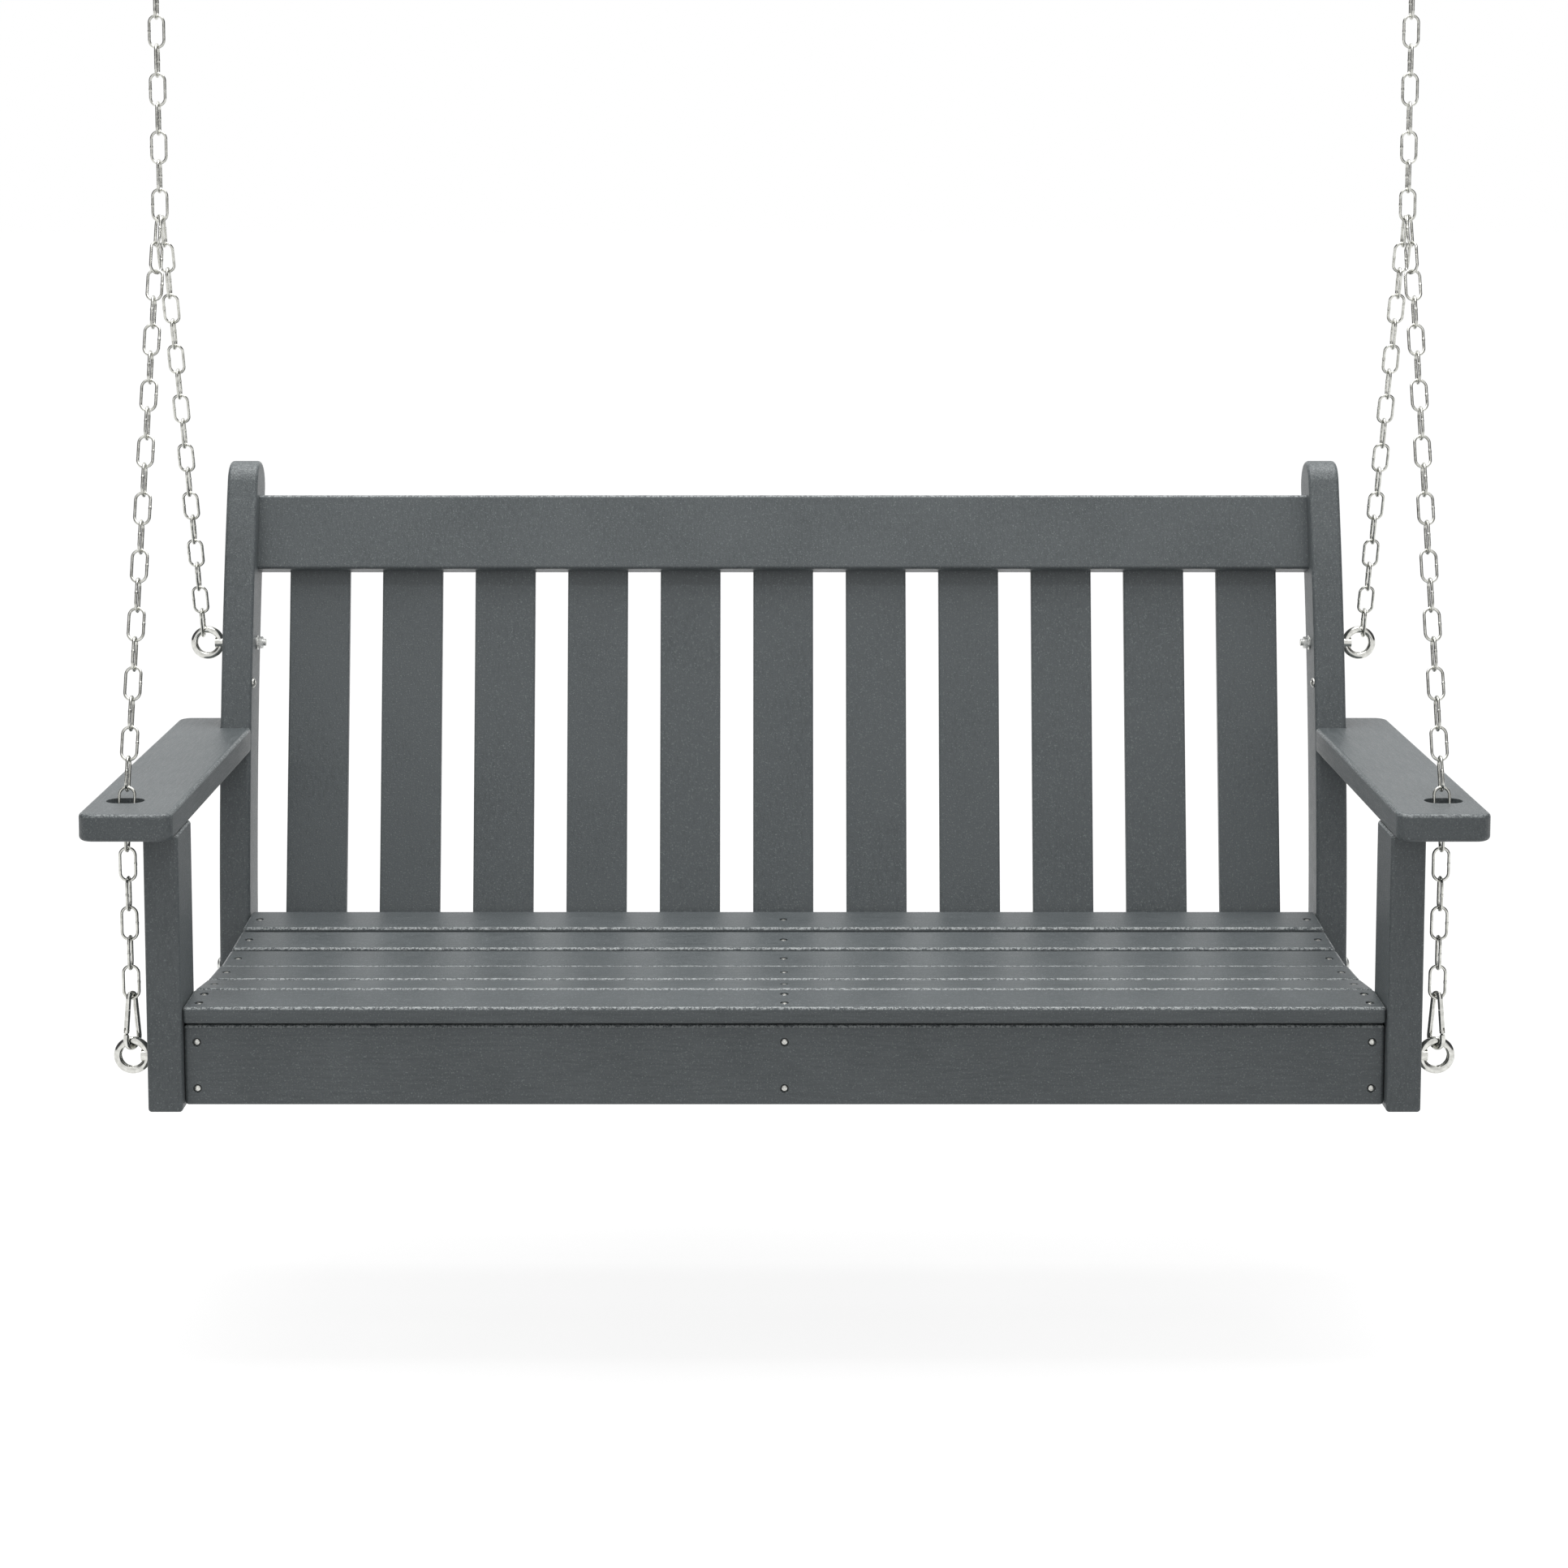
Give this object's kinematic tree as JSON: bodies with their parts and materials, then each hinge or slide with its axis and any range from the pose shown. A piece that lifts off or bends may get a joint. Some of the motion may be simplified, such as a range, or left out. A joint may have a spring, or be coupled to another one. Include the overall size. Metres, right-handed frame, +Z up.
{
  "type": "porch swing",
  "caption": "Slatted two-seat porch swing of plastic lumber with a curved-post back and flat arms, hung on V-branched chains from ceiling screw hooks.",
  "frame": {"origin": "midpoint of the hang axis, the line through the bowls of the two ceiling hooks, where the wire is lowest", "axes": "+X along the swing's width, +Y from its front to its back, +Z up"},
  "size_m": [1.524, 0.6562, 1.342],
  "materials": {
    "lumber": "matte",
    "steel": "satin"
  },
  "bodies": {
    "ceiling_hooks": {"ceiling_hook_left": "steel", "ceiling_hook_right": "steel"},
    "upper_chains": {"upper_chain_left": "steel", "upper_chain_right": "steel"},
    "seat": {"apron_screws": "steel", "arm_dowels": "steel", "arm_left": "lumber", "arm_right": "lumber", "arm_screws": "steel", "back_slat_01": "lumber", "back_slat_02": "lumber", "back_slat_03": "lumber", "back_slat_04": "lumber", "back_slat_05": "lumber", "back_slat_06": "lumber", "back_slat_07": "lumber", "back_slat_08": "lumber", "back_slat_09": "lumber", "back_slat_10": "lumber", "back_slat_11": "lumber", "back_stile_left": "lumber", "back_stile_right": "lumber", "bolt_nuts": "steel", "bolt_washers": "steel", "carriage_bolts": "steel", "center_rail": "lumber", "front_apron": "lumber", "front_chain_left": "steel", "front_chain_right": "steel", "front_eye_bolt_left": "steel", "front_eye_bolt_right": "steel", "front_leg_left": "lumber", "front_leg_right": "lumber", "gate_pin_left": "steel", "gate_pin_right": "steel", "leg_screws": "steel", "rear_chain_left": "steel", "rear_chain_right": "steel", "rear_eye_bolt_left": "steel", "rear_eye_bolt_right": "steel", "rear_rail": "lumber", "rear_rail_screws": "steel", "seat_slat_1": "lumber", "seat_slat_2": "lumber", "seat_slat_3": "lumber", "seat_slat_4": "lumber", "seat_slat_5": "lumber", "seat_slat_6": "lumber", "seat_slat_screws": "steel", "side_rail_left": "lumber", "side_rail_right": "lumber", "snap_hook_left": "steel", "snap_hook_right": "steel", "stile_side_screws": "steel", "top_rail": "lumber", "top_rail_screws": "steel"},
    "gate_left": {"snap_gate_left": "steel"},
    "gate_right": {"snap_gate_right": "steel"}
  },
  "joints": [
    {"name": "swing", "type": "hinge", "parent": "ceiling_hooks", "child": "upper_chains", "pos_m": [0, 0, 0], "axis": [1, 0, 0], "range_deg": [-25, 25]},
    {"name": "rock", "type": "hinge", "parent": "upper_chains", "child": "seat", "pos_m": [0, 0, -0.266], "axis": [1, 0, 0], "range_deg": [-10, 10]},
    {"name": "gate_right_open", "type": "hinge", "parent": "seat", "child": "gate_right", "pos_m": [0.72658, -0.29785, -1.152], "axis": [-0.8829, -0.4695, 0], "range_deg": [0, 20], "stiffness_Nm_per_rad": 0.05, "springref_deg": -20.05},
    {"name": "gate_left_open", "type": "hinge", "parent": "seat", "child": "gate_left", "pos_m": [-0.72658, -0.29785, -1.152], "axis": [-0.8829, 0.4695, 0], "range_deg": [0, 20], "stiffness_Nm_per_rad": 0.05, "springref_deg": -20.05}
  ]
}
